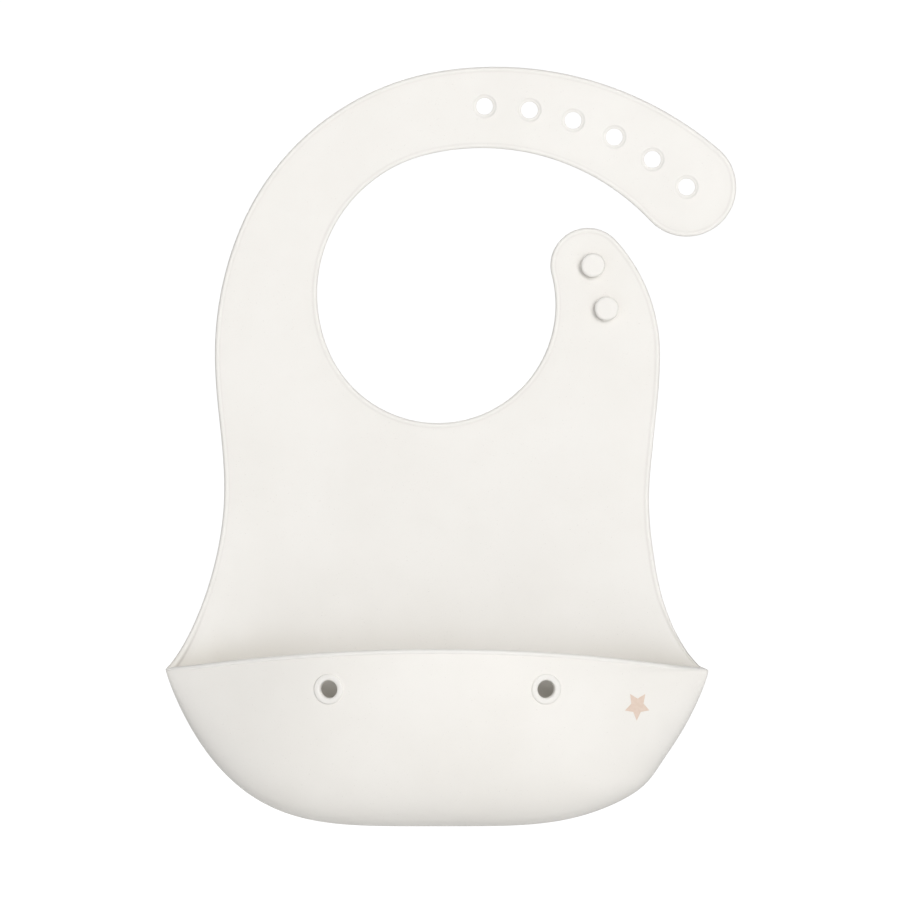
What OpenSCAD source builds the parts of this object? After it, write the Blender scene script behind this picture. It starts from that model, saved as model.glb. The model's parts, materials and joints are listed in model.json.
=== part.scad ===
// Silicone bib: a neck opening with a long and a short strap, a chest panel and
// a pocket that stands open in front. The sheet is moulded in one piece, and is
// divided here along the lines where it bends.
// The front faces -Y and +Z is up. The origin is the centre of the neck
// opening, halfway through the sheet.

/* [Sheet] */
// Thickness of the sheet
sheet_t = 2; // [1.6:0.1:2.6]
// Width of the bead along the free edges
bead_w = 2; // [1.4:0.1:2.6]
// Height of the bead above each face of the sheet
bead_h = 0.3; // [0.2:0.05:0.6]

/* [Neck and chest] */
// Radius of the neck opening
neck_r = 48; // [40:1:58]
// Width of the sheet on each side of the neck opening
shoulder_w = 42.5; // [35:0.5:51]
// Level of the widest line of the chest
chest_z = -20; // [-26:1:-16]
// How much narrower the waist is than the chest, on each side
waist_in = 3.8; // [2:0.1:6]
// Level of the waist
waist_z = -75; // [-82:1:-70]

/* [Long strap] */
// How much larger the inner edge's arc is than the neck opening
inner_gain = 10.4; // [8:0.2:13]
// Direction in which the inner edge leaves the neck circle
inner_turn = 24.5; // [20:0.5:30]
// Direction of the change from the first inner arc to the second
inner_switch = 104; // [98:1:110]
// Radii of the three outer arcs, over the radius of the neck opening
outer_gain = [84.5, 58, 92];
// Direction of the change from the first outer arc to the second
outer_switch_a = 157; // [152:1:162]
// Direction of the change from the second outer arc to the third
outer_switch_b = 100; // [96:1:106]
// Direction of the strap's tip from the centre of the third outer arc
tip_turn = 49.5; // [46:0.5:54]
// Radius of the long strap's tip
tip_r = 20.2; // [17:0.2:24]

/* [Short strap] */
// Radius of the short strap's tip
short_tip_r = 15.3; // [13:0.2:18.4]
// Direction of the short strap's tip from the neck's centre
short_tip_turn = 14.7; // [12:0.1:18]

/* [Fastening] */
// Number of holes in the long strap
hole_count = 6; // [6:1:6]
// Radius of each strap hole
hole_r = 3.45; // [2.9:0.05:4.2]
// Radius of the dished rim round each strap hole
rim_r = 4.75; // [4.4:0.05:5.6]
// Depth of the dished rim
rim_depth = 0.4; // [0.2:0.05:0.5]
// Distance between neighbouring holes, and between the studs
hole_pitch = 18.4; // [15.3:0.1:22.1]
// Distance from the outer edge to the first hole and to the last
hole_inset = [16, 20.2];
// Clearance between a stud's stem and its hole
stem_clear = 0.3; // [0.1:0.05:0.5]
// Radius of a stud's head
stud_head_r = 4.9; // [4.2:0.1:5.6]
// Height of a stud's head
stud_head_h = 2.4; // [1.8:0.1:3]
// Sideways place of the upper stud from the centre of the short strap's tip
stud_offset = 2; // [0:0.1:3]
// Lean of the line through both studs, from the vertical
stud_lean = 17.4; // [12:0.2:22]

/* [Pocket] */
// Half of the pocket's width, corner to corner
pocket_half_w = 110.5; // [92:0.5:133]
// Level of the pocket's corners
corner_z = -148; // [-160:1:-140]
// Height of the pocket below its corners
pocket_h = 64; // [53:1:77]
// Rise of the lip from the corners to its middle
lip_rise = 8.6; // [6:0.2:12]
// Depth of the pocket in front of the sheet
pocket_depth = 42; // [35:1:51]
// Thickness of the pocket's wall
wall_t = 2; // [1.6:0.1:2.5]
// Height of the bead along the lip
lip_bead_h = 2.4; // [1.8:0.1:3]
// How far the lip's bead stands proud of the wall
lip_bead_proud = 0.4; // [0.2:0.05:0.6]
// Distance of each eyelet from the middle of the pocket
eyelet_x = 44; // [36:0.5:53]
// Depth of the eyelets below the corners
eyelet_drop = 7.7; // [6:0.1:10]
// Radius of an eyelet's bore
eyelet_r = 3.6; // [3:0.1:4.4]
// Radius of an eyelet's collar
collar_r = 6.25; // [5.6:0.05:7.5]
// How far a collar stands out of each face of the wall
collar_proud = 0.7; // [0.4:0.1:1]
// Distance of the printed star from the pocket's corner, sideways
mark_inset = 29.5; // [26.5:0.5:44]
// Depth of the printed star below the corners
mark_drop = 14.7; // [12:0.1:18]
// Radius of the printed star
mark_r = 6; // [5:0.1:7.2]

/* [Bending lines] */
// Levels of the two lines across the panel
fold_z = [-62, -105];
// Gap between two neighbouring stretches of the sheet
hinge_gap = 1.3; // [1.2:0.1:1.6]
// Directions of the first two lines across the long strap
strap_fold = [163, 133];
// Distance along the strap from the first hole to the third line
strap_fold_before_holes = 22; // [18:1:26]
// Direction of the line across the short strap, from the neck's centre
short_fold = -9; // [-12:0.5:-9]
// Depth at which the pocket's front wall meets its gutter
gutter_depth = 13; // [11:0.5:15]
// Gap between the front wall and the gutter
gutter_gap = 0.5; // [0.4:0.1:0.8]

/* [Hidden] */
$fn = 64;

ivory = [0.95, 0.93, 0.91];
pale_ivory = [0.97, 0.96, 0.94];
peach = [0.9, 0.81, 0.74];
far = 400;
arc_step = 4;
front_face = -sheet_t / 2;
mark_x = pocket_half_w - mark_inset;

// Powers that give the pocket's plan, its outline and its rounded section.
lens_power = 0.9;
outline_power = 4;
floor_power = 0.87;
round_power = 2.5;
// How much thicker the wall is across the corners than square to itself
corner_slant = 1.7;

function polar(r, a) = [r * cos(a), r * sin(a)];
function arc(c, r, a0, a1) =
    let (n = max(2, ceil(abs(a1 - a0) / arc_step)))
    [for (i = [0:n - 1]) c + polar(r, a0 + (a1 - a0) * i / n)];
function bezier(p0, p1, p2, p3, n) = [
    for (i = [0:n - 1]) let (t = i / n, s = 1 - t)
        s * s * s * p0 + 3 * s * s * t * p1 + 3 * s * t * t * p2 + t * t * t * p3
];
function mirrored(points) = [
    for (i = [len(points) - 1:-1:0]) [-points[i][0], points[i][1]]
];
function direction(from, to) = atan2(to[1] - from[1], to[0] - from[0]);
function unit(v) = v / norm(v);

// Each edge of the sheet is a chain of arcs that meet in a common tangent.
chest_half_w = neck_r + shoulder_w;
waist_half_w = chest_half_w - waist_in;
outer_r = [for (gain = outer_gain) neck_r + gain];
outer_a = [outer_r[0] - chest_half_w, chest_z];
outer_b = outer_a + polar(outer_r[0] - outer_r[1], outer_switch_a);
outer_c = outer_b - polar(outer_r[2] - outer_r[1], outer_switch_b);
tip_c = outer_c + polar(outer_r[2] - tip_r, tip_turn);

inner_r1 = neck_r + inner_gain;
inner_c1 = polar(inner_gain, inner_turn);
to_tip = tip_c - inner_c1;
inner_dir = polar(1, inner_switch);
inner_sum = inner_r1 + tip_r;
inner_more = (to_tip * to_tip - inner_sum * inner_sum) / (2 * (inner_sum - to_tip * inner_dir));
inner_r2 = inner_r1 + inner_more;
inner_c2 = inner_c1 - inner_more * inner_dir;
inner_end = direction(inner_c2, tip_c);

short_c = polar(neck_r + short_tip_r, short_tip_turn);
short_dx = short_c[0] - chest_half_w;
short_dz = short_c[1] - chest_z;
short_outer_r = (short_tip_r * short_tip_r - short_dx * short_dx - short_dz * short_dz)
    / (2 * (short_dx + short_tip_r));
short_outer_c = [chest_half_w - short_outer_r, chest_z];
short_end = direction(short_outer_c, short_c);
neck_level = asin(chest_z / neck_r);

flank = concat(
    bezier([pocket_half_w, corner_z], [pocket_half_w - 9.5, corner_z + 9],
        [waist_half_w, waist_z - 31], [waist_half_w, waist_z], 14),
    bezier([waist_half_w, waist_z], [waist_half_w, waist_z + 20],
        [chest_half_w, chest_z - 20], [chest_half_w, chest_z], 8)
);
short_edge = concat(
    arc(short_outer_c, short_outer_r, 0, short_end),
    arc(short_c, short_tip_r, short_end, 180 + short_tip_turn),
    arc([0, 0], neck_r, short_tip_turn, neck_level)
);
neck_edge = arc([0, 0], neck_r, neck_level, inner_turn - 180);
long_edge = concat(
    arc(inner_c1, inner_r1, inner_turn + 180, inner_switch),
    arc(inner_c2, inner_r2, inner_switch, inner_end),
    arc(tip_c, tip_r, inner_end + 180, tip_turn + 360),
    arc(outer_c, outer_r[2], tip_turn, outer_switch_b),
    arc(outer_b, outer_r[1], outer_switch_b, outer_switch_a),
    arc(outer_a, outer_r[0], outer_switch_a, 180)
);
pocket_steps = 36;
pocket_edge = [
    for (i = [0:pocket_steps - 1]) let (x = -pocket_half_w * cos(180 * i / pocket_steps))
        [x, floor_z(x, pocket_half_w, pocket_h)]
];
outline = concat(
    flank, short_edge, neck_edge, long_edge,
    [[-chest_half_w, chest_z]], [for (p = mirrored(flank)) p], pocket_edge
);
tidy_outline = [
    for (i = [0:len(outline) - 1])
        if (norm(outline[i] - outline[(i + 1) % len(outline)]) > 0.05) outline[i]
];

// Points of an outline moved inwards, square to its edges.
function inset(points, d) = [
    for (i = [0:len(points) - 1])
        let (
            n = len(points),
            before = unit(points[i] - points[(i + n - 1) % n]),
            after = unit(points[(i + 1) % n] - points[i]),
            normal = unit([-before[1] - after[1], before[0] + after[0]])
        )
        points[i] + normal * d / max(0.5, normal * [-after[1], after[0]])
];

// The pocket's lip, its floor line and its wall, each by a formula.
function lip_z(x) = corner_z + lip_rise * (1 - pow(x / pocket_half_w, 2));
function floor_z(x, half_w, h) =
    corner_z - h * pow(max(0, 1 - pow(abs(x) / half_w, outline_power)), floor_power);
function lip_depth(x, half_w, depth) = depth * pow(max(0, 1 - pow(x / half_w, 2)), lens_power);
function wall_y(x, z) =
    let (v = (lip_z(x) - z) / (lip_z(x) - floor_z(x, pocket_half_w, pocket_h)))
    front_face
        - lip_depth(x, pocket_half_w, pocket_depth) * pow(1 - pow(v, round_power), 1 / round_power);

// The strap holes lie on an arc about the centre of the strap's last outer arc.
hole_arc_r = outer_r[2] - hole_inset[0];
hole_step = hole_pitch / hole_arc_r * 180 / PI;
function hole_turn(i) = tip_turn + (hole_count - 1 - i) * hole_step;
function hole_c(i) =
    let (inset_here = hole_inset[0] + (hole_inset[1] - hole_inset[0]) * i / (hole_count - 1))
    outer_c + polar(outer_r[2] - inset_here, hole_turn(i));
upper_stud_c = short_c + [stud_offset, 0];
lower_stud_c = upper_stud_c + hole_pitch * [sin(stud_lean), -cos(stud_lean)];

// Lines across the long strap, each as a centre and a direction.
strap_lines = [
    [outer_b, strap_fold[0]],
    [outer_b, strap_fold[1]],
    [outer_c, hole_turn(0) + strap_fold_before_holes / hole_arc_r * 180 / PI],
    [outer_c, (hole_turn(1) + hole_turn(2)) / 2],
    [outer_c, (hole_turn(3) + hole_turn(4)) / 2]
];

// Half plane on one side of a line, from `gap` beyond the line.
module half_plane(line, side, gap) {
    translate(line[0])
        rotate(line[1])
            translate([-far, side > 0 ? gap : -far - gap])
                square([2 * far, far]);
}

module band(z0, z1) {
    translate([-far, z0])
        square([2 * far, z1 - z0]);
}

module sheet_shape() {
    polygon(tidy_outline);
}

module core_shape() {
    polygon(inset(tidy_outline, bead_w));
}

module long_strap_shape() {
    polygon(long_edge);
}

module short_strap_shape() {
    polygon(short_edge);
}

// The stretch of the long strap that lies past line k and before line k + 1.
module strap_stretch(k) {
    intersection() {
        long_strap_shape();
        half_plane(strap_lines[k], -1, hinge_gap / 2);
        if (k < len(strap_lines) - 1)
            half_plane(strap_lines[k + 1], 1, hinge_gap / 2);
        else
            square(4 * far, center = true);
    }
}

module short_stretch(gap) {
    intersection() {
        short_strap_shape();
        half_plane([[0, 0], short_fold], 1, gap);
    }
}

module upper_shape() {
    difference() {
        intersection() {
            sheet_shape();
            band(fold_z[0] + hinge_gap / 2, far);
        }
        intersection() {
            long_strap_shape();
            half_plane(strap_lines[0], -1, -hinge_gap / 2);
        }
        short_stretch(-hinge_gap / 2);
    }
}

module middle_shape() {
    intersection() {
        sheet_shape();
        band(fold_z[1] + hinge_gap / 2, fold_z[0] - hinge_gap / 2);
    }
}

module lower_shape() {
    intersection() {
        sheet_shape();
        band(-far, fold_z[1] - hinge_gap / 2);
    }
}

// Extrudes a shape drawn in the sheet's plane, centred on that plane.
module sheet_solid(t) {
    translate([0, t / 2, 0])
        rotate([90, 0, 0])
            linear_extrude(t)
                children();
}

module inner_sheet() {
    sheet_solid(sheet_t)
        intersection() {
            children();
            core_shape();
        }
}

module edge_bead() {
    sheet_solid(sheet_t + 2 * bead_h)
        difference() {
            children();
            core_shape();
        }
}

// Cuts one strap hole with its dished rims, through the sheet along Y.
module hole_cut(c) {
    reach = sheet_t / 2 + 1;
    translate([c[0], 0, c[1]])
        rotate([90, 0, 0]) {
            cylinder(r = hole_r, h = 2 * reach, center = true);
            for (side = [-1, 1])
                translate([0, 0, side * (sheet_t / 2 - rim_depth + reach / 2)])
                    cylinder(r = rim_r, h = reach, center = true);
        }
}

module upper_panel() {
    color(ivory)
        inner_sheet()
            upper_shape();
}

module upper_panel_bead() {
    color(pale_ivory)
        edge_bead()
            upper_shape();
}

module middle_panel() {
    color(ivory)
        inner_sheet()
            middle_shape();
}

module middle_panel_beads() {
    color(pale_ivory)
        edge_bead()
            middle_shape();
}

module corner_bead_shape() {
    difference() {
        intersection() {
            lower_shape();
            band(corner_z, far);
        }
        core_shape();
    }
}

module lower_panel() {
    color(ivory)
        sheet_solid(sheet_t)
            difference() {
                lower_shape();
                corner_bead_shape();
            }
}

module lower_panel_beads() {
    color(pale_ivory)
        difference() {
            sheet_solid(sheet_t + 2 * bead_h)
                corner_bead_shape();
            lip_zone();
        }
}

// The corner of the sheet that the ends of the lip's bead stand on.
module lip_zone() {
    translate([-far, -far, corner_z - 1])
        cube([2 * far, far - sheet_t / 2, lip_rise + 2]);
}

module long_strap(k, holes) {
    color(ivory)
        difference() {
            inner_sheet()
                strap_stretch(k);
            for (i = holes)
                hole_cut(hole_c(i));
        }
}

module long_strap_beads(k) {
    color(pale_ivory)
        edge_bead()
            strap_stretch(k);
}

module short_strap() {
    color(ivory)
        inner_sheet()
            short_stretch(hinge_gap / 2);
}

module short_strap_bead() {
    color(pale_ivory)
        edge_bead()
            short_stretch(hinge_gap / 2);
}

// A stud: a stem as long as the strap is thick, under a head with a round rim.
module stud(c) {
    stem_r = hole_r - stem_clear;
    stem_h = sheet_t + stem_clear;
    top = stem_h + stud_head_h;
    soft = 0.5;
    color(pale_ivory)
        translate([c[0], front_face, c[1]])
            rotate([90, 0, 0])
                rotate_extrude()
                    polygon([
                        [0, 0], [stem_r + soft, 0], [stem_r, soft], [stem_r, stem_h],
                        [stud_head_r - soft, stem_h], [stud_head_r, stem_h + soft],
                        [stud_head_r, top - soft], [stud_head_r - soft, top - soft / 4], [0, top]
                    ]);
}

// One point of a bowl: u runs from corner to corner and a from the lip to the floor.
function bowl_point(u, a, grow, t) =
    let (
        half_w = pocket_half_w + grow - corner_slant * t,
        x = u * half_w,
        top = lip_z(x),
        bottom = floor_z(x, half_w, pocket_h + grow - t),
        d = lip_depth(x, half_w, pocket_depth + grow - t)
    )
    [
        x,
        front_face - d * pow(cos(a), 2 / round_power),
        top - (top - bottom) * pow(sin(a), 2 / round_power)
    ];
// Where a lies at a drop below the lip, and at a depth in front of the sheet.
function a_at_drop(u, drop, grow, t) =
    let (top = bowl_point(u, 0, grow, t), bottom = bowl_point(u, 90, grow, t))
    asin(pow(drop / (top[2] - bottom[2]), round_power / 2));
function a_at_depth(u, y, grow, t) =
    let (top = bowl_point(u, 0, grow, t))
    acos(pow(min(1, (front_face - y) / (front_face - top[1])), round_power / 2));

// Stretches of the pocket's width: the front wall's, and each corner's beside it.
front_share = 0.82;
corner_share = 0.98;
side_gap = 0.006;
function spread(u0, u1, n) = [for (i = [0:n]) u0 + (u1 - u0) * i / n];
front_columns = spread(-front_share, front_share, 28);
right_columns = spread(front_share + side_gap, corner_share, 7);
left_columns = [for (i = [len(right_columns) - 1:-1:0]) -right_columns[i]];

// A closed wall between two bowls. start and end give a for a column and a bowl.
module shell(columns, start, end, rows, proud) {
    sides = [[proud, 0], [-proud, wall_t]];
    width = rows + 1;
    ring = 2 * width;
    points = [
        for (u = columns, side = sides, j = [0:rows])
            let (
                a0 = start(u, side[0], side[1]),
                a1 = end(u, side[0], side[1]),
                row = side[1] == 0 ? j : rows - j
            )
            bowl_point(u, a0 + (a1 - a0) * row / rows, side[0], side[1])
    ];
    last = (len(columns) - 1) * ring;
    faces = concat(
        [for (i = [0:len(columns) - 2], k = [0:ring - 1])
            let (
                a = i * ring + k,
                b = i * ring + (k + 1) % ring
            )
            each [[a, b, b + ring], [a, b + ring, a + ring]]],
        [for (k = [0:rows - 1]) let (m = ring - 1 - k)
            each [[k, m, m - 1], [k, m - 1, k + 1]]],
        [for (k = [0:rows - 1]) let (m = ring - 1 - k)
            each [[last + k, last + m - 1, last + m], [last + k, last + k + 1, last + m - 1]]]
    );
    polyhedron(points, faces, convexity = 6);
}

at_lip = function (u, grow, t) 0;
at_floor = function (u, grow, t) 90;
under_bead = function (u, grow, t) a_at_drop(u, lip_bead_h, grow, t);
behind_split = function (u, grow, t)
    abs(u) > front_share
        ? a_at_drop(u, lip_bead_h, grow, t)
        : a_at_depth(u, -gutter_depth + gutter_gap / 2, grow, t);
before_split = function (u, grow, t) a_at_depth(u, -gutter_depth - gutter_gap / 2, grow, t);

// Puts its children on the outside of the pocket's wall, facing straight out.
module on_wall(x, z) {
    yaw = atan((wall_y(x + 1, z) - wall_y(x - 1, z)) / 2);
    pitch = -atan((wall_y(x, z + 1) - wall_y(x, z - 1)) / 2);
    translate([x, wall_y(x, z), z])
        rotate([90 + pitch, 0, yaw])
            children();
}

module collar_bore(x, r) {
    reach = 3 * wall_t;
    on_wall(x, corner_z - eyelet_drop)
        cylinder(r = r, h = 2 * reach, center = true);
}

module pocket_gutter() {
    color(ivory)
        shell(concat(left_columns, front_columns, right_columns), behind_split, at_floor, 8, 0);
}

module lip_corner_beads() {
    color(pale_ivory)
        for (columns = [left_columns, right_columns])
            shell(columns, at_lip, under_bead, 1, lip_bead_proud);
}

module pocket_front() {
    color(ivory)
        difference() {
            shell(front_columns, under_bead, before_split, 8, 0);
            for (side = [-1, 1])
                collar_bore(side * eyelet_x, collar_r);
        }
}

module lip_bead() {
    color(pale_ivory)
        shell(front_columns, at_lip, under_bead, 1, lip_bead_proud);
}

module eyelet_collar(x) {
    color(pale_ivory)
        difference() {
            on_wall(x, corner_z - eyelet_drop)
                translate([0, 0, -wall_t - collar_proud])
                    cylinder(r = collar_r, h = wall_t + 2 * collar_proud);
            collar_bore(x, eyelet_r);
        }
}

// A plain five-pointed star, printed on the wall.
module printed_star() {
    film = 0.3;
    inner_share = 0.5;
    color(peach)
        on_wall(mark_x, corner_z - mark_drop)
            translate([0, 0, 0.05])
                linear_extrude(film)
                    polygon([
                        for (i = [0:9]) polar(i % 2 == 0 ? mark_r : mark_r * inner_share, 90 + 36 * i)
                    ]);
}

upper_panel();
upper_panel_bead();
middle_panel();
middle_panel_beads();
lower_panel();
lower_panel_beads();
pocket_gutter();
lip_corner_beads();
pocket_front();
lip_bead();
eyelet_collar(-eyelet_x);  // left_eyelet_collar
eyelet_collar(eyelet_x);  // right_eyelet_collar
printed_star();
long_strap(0, []);  // long_strap_1
long_strap(1, []);  // long_strap_2
long_strap(2, [0, 1]);  // long_strap_3
long_strap(3, [2, 3]);  // long_strap_4
long_strap(4, [4, 5]);  // long_strap_tip
long_strap_beads(0);  // long_strap_1_beads
long_strap_beads(1);  // long_strap_2_beads
long_strap_beads(2);  // long_strap_3_beads
long_strap_beads(3);  // long_strap_4_beads
long_strap_beads(4);  // long_strap_tip_bead
short_strap();
short_strap_bead();
stud(upper_stud_c);  // upper_stud
stud(lower_stud_c);  // lower_stud
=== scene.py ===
import json
import math

import bmesh
import bpy
import numpy as np
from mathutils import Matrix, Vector
from mathutils.geometry import delaunay_2d_cdt


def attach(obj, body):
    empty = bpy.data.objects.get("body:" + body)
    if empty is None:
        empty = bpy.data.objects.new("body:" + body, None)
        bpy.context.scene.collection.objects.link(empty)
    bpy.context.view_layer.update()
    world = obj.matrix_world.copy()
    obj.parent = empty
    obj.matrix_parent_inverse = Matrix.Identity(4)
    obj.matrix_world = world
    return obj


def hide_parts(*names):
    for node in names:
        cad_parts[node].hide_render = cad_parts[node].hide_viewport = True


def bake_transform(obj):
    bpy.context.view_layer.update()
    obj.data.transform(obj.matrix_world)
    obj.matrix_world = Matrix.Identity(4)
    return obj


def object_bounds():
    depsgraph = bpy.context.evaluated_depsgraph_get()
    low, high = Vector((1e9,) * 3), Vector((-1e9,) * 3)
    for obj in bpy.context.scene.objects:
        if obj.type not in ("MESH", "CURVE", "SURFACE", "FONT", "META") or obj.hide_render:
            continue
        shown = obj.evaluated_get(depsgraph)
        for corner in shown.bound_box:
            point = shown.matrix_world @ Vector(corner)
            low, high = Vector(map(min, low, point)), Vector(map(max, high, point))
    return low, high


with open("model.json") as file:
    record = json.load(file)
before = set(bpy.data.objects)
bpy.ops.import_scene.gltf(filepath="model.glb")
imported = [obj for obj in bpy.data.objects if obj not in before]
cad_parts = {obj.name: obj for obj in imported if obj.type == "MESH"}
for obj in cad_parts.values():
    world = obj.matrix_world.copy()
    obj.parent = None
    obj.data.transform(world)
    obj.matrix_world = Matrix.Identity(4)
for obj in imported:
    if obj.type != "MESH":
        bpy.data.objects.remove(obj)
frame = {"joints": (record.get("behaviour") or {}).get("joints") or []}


# ---------------------------------------------------------------- Studio
# A white room for small goods. The bib hangs in the air, held at the neck, over a pale floor.
# One large soft lamp stands high on the right, a weak one fills in from the left, and a third
# lights the bib from behind.

cad_lo, cad_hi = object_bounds()
middle = (cad_lo + cad_hi) / 2

scene = bpy.context.scene
scene.view_settings.view_transform = "Standard"

lens_data = bpy.data.cameras.new("front_camera")
lens_data.lens, lens_data.sensor_width = 600, 36
lens_data.clip_start, lens_data.clip_end = 0.05, 40
camera = bpy.data.objects.new("front_camera", lens_data)
camera_distance, aim_left, aim_down = 6.1, 0.0004, 0.0014
camera.location = (middle.x - aim_left, -camera_distance, middle.z - aim_down)
camera.rotation_euler = (math.radians(90), 0, 0)
scene.collection.objects.link(camera)
scene.camera = camera


def node(tree, kind, inputs=None, **settings):
    """A new node, with its settings and the values of its unlinked inputs."""
    made = tree.nodes.new(kind)
    for name, value in settings.items():
        setattr(made, name, value)
    for name, value in (inputs or {}).items():
        made.inputs[name].default_value = value
    return made


def link(tree, *ends):
    """Links pairs of (node, output) and (node, input)."""
    for (source, out), (target, into) in zip(ends[::2], ends[1::2]):
        tree.links.new(source.outputs[out], target.inputs[into])


def soft_lamp(name, place, size, power, colour):
    """A round soft lamp that points at the middle of the bib and isn't seen itself."""
    lamp = bpy.data.lights.new(name, "AREA")
    lamp.shape, lamp.size, lamp.energy, lamp.color = "DISK", size, power, colour
    holder = bpy.data.objects.new(name, lamp)
    holder.location = place
    holder.rotation_euler = (middle - Vector(place)).to_track_quat("-Z", "Y").to_euler()
    holder.visible_camera = False
    scene.collection.objects.link(holder)


soft_lamp("lamp_right", (0.95, -3.2, 0.6), 1.6, 68, (1.0, 0.995, 0.99))
soft_lamp("lamp_left", (-1.2, -2.4, -0.2), 1.2, 9, (1.0, 0.99, 0.98))
soft_lamp("lamp_back", (-0.5, 2.1, 0.9), 1.2, 26, (1.0, 1.0, 1.0))

room_light, room_seen = 0.322, 1.05
world = bpy.data.worlds.new("white_room")
world.use_nodes = True
scene.world = world
tree = world.node_tree
tree.nodes.clear()
ray = node(tree, "ShaderNodeLightPath")
lit = node(tree, "ShaderNodeBackground", {"Color": (0.975, 0.985, 1, 1), "Strength": room_light})
seen = node(tree, "ShaderNodeBackground", {"Color": (1, 1, 1, 1), "Strength": room_seen})
either = node(tree, "ShaderNodeMixShader")
out = node(tree, "ShaderNodeOutputWorld")
link(tree, (ray, "Is Camera Ray"), (either, 0), (lit, 0), (either, 1), (seen, 0), (either, 2),
     (either, 0), (out, "Surface"))

floor_drop, floor_radius, floor_glow, glow_share = 0.03, 14.0, 1.15, 0.92
mesh = bpy.data.meshes.new("studio_floor")
bm = bmesh.new()
bmesh.ops.create_circle(bm, cap_ends=True, segments=96, radius=floor_radius)
bmesh.ops.translate(bm, verts=bm.verts, vec=(0, 0, cad_lo.z - floor_drop))
bm.to_mesh(mesh)
bm.free()
floor = bpy.data.objects.new("studio_floor", mesh)
scene.collection.objects.link(floor)

paint = bpy.data.materials.new("floor_paint")
paint.use_nodes = True
tree = paint.node_tree
tree.nodes.clear()
ray = node(tree, "ShaderNodeLightPath")
matt = node(tree, "ShaderNodeBsdfPrincipled", {"Base Color": (0.9, 0.9, 0.895, 1), "Roughness": 0.8})
glow = node(tree, "ShaderNodeEmission", {"Color": (1, 1, 1, 1), "Strength": floor_glow})
tinted = node(tree, "ShaderNodeMixShader", {0: glow_share})
either = node(tree, "ShaderNodeMixShader")
out = node(tree, "ShaderNodeOutputMaterial")
link(tree, (matt, 0), (tinted, 1), (glow, 0), (tinted, 2), (ray, "Is Camera Ray"), (either, 0),
     (matt, 0), (either, 1), (tinted, 0), (either, 2), (either, 0), (out, "Surface"))
mesh.materials.append(paint)


# ---------------------------------------------------------------- Sheet
# The bib's flat sheet: chest panel, neck opening, long and short strap. It is 2 mm of soft
# silicone, pressed in a steel mould, with a round bead along every free edge and six dished
# holes for the studs. Sizes are in millimetres until a mesh is made.

sheet_half = 1.0
neck_r, chest_half_w, chest_z = 48.0, 90.5, -20.0
waist_half_w, waist_z = 86.7, -75.0
pocket_half_w, corner_z = 110.5, -148.0
inner_gain, inner_turn, inner_switch = 10.4, 24.5, 104.0
outer_r = (132.5, 106.0, 140.0)
outer_switch = (157.0, 100.0)
tip_turn, tip_r = 49.5, 20.2
short_tip_turn, short_tip_r = 14.7, 15.3
edge_spacing = 1.3
bead_profile = (
    (0, 0), (0.1, 0.5), (0.35, 0.86), (0.7, 1.1), (1.1, 1.18), (1.45, 1.13), (1.75, 1.02), (2.0, 0.985),
    (2.5, 1.0),
)
corner_widening, corner_narrowing = 0.4, 0.35
corner_roll_z, corner_roll_h = -118, 26
hole_profile = (
    (3.4, 0.3), (3.5, 0.46), (3.7, 0.56), (4.15, 0.64), (4.5, 0.75), (4.75, 0.92), (4.95, 1.02),
    (5.15, 1.03), (5.45, 1.0),
)


def polar(r, degrees):
    """The point at that distance and direction from the origin."""
    return np.array((r * math.cos(math.radians(degrees)), r * math.sin(math.radians(degrees))))


def heading(start, end):
    """The direction from one point to another, in degrees."""
    return math.degrees(math.atan2(end[1] - start[1], end[0] - start[0]))


def arc(centre, r, start, end):
    """Points on an arc, without its last one."""
    n = max(2, math.ceil(abs(math.radians(end - start)) * r / edge_spacing))
    return [np.array(centre) + polar(r, start + (end - start) * i / n) for i in range(n)]


def bezier(p0, p1, p2, p3, n):
    """The first n of n + 1 points on a curve from p0 to p3."""
    s = np.linspace(0, 1, n, endpoint=False)[:, None]
    p0, p1, p2, p3 = (np.array(p, float) for p in (p0, p1, p2, p3))
    return list((1 - s) ** 3 * p0 + 3 * (1 - s) ** 2 * s * p1 + 3 * (1 - s) * s**2 * p2 + s**3 * p3)


# The free edge is a chain of arcs that meet in a common tangent, from the right corner of the
# pocket round both straps to the left corner.
outer_a = np.array((outer_r[0] - chest_half_w, chest_z))
outer_b = outer_a + polar(outer_r[0] - outer_r[1], outer_switch[0])
outer_c = outer_b - polar(outer_r[2] - outer_r[1], outer_switch[1])
tip_c = outer_c + polar(outer_r[2] - tip_r, tip_turn)
inner_r1 = neck_r + inner_gain
inner_c1 = polar(inner_gain, inner_turn)
to_tip, switch_way = tip_c - inner_c1, polar(1, inner_switch)
reach = inner_r1 + tip_r
inner_more = (to_tip @ to_tip - reach**2) / (2 * (reach - to_tip @ switch_way))
inner_c2 = inner_c1 - inner_more * switch_way
inner_end = heading(inner_c2, tip_c)
short_c = polar(neck_r + short_tip_r, short_tip_turn)
dx, dz = short_c[0] - chest_half_w, short_c[1] - chest_z
short_outer_r = (short_tip_r**2 - dx**2 - dz**2) / (2 * (dx + short_tip_r))
short_outer_c = np.array((chest_half_w - short_outer_r, chest_z))
short_end = heading(short_outer_c, short_c)
neck_level = math.degrees(math.asin(chest_z / neck_r))

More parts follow.
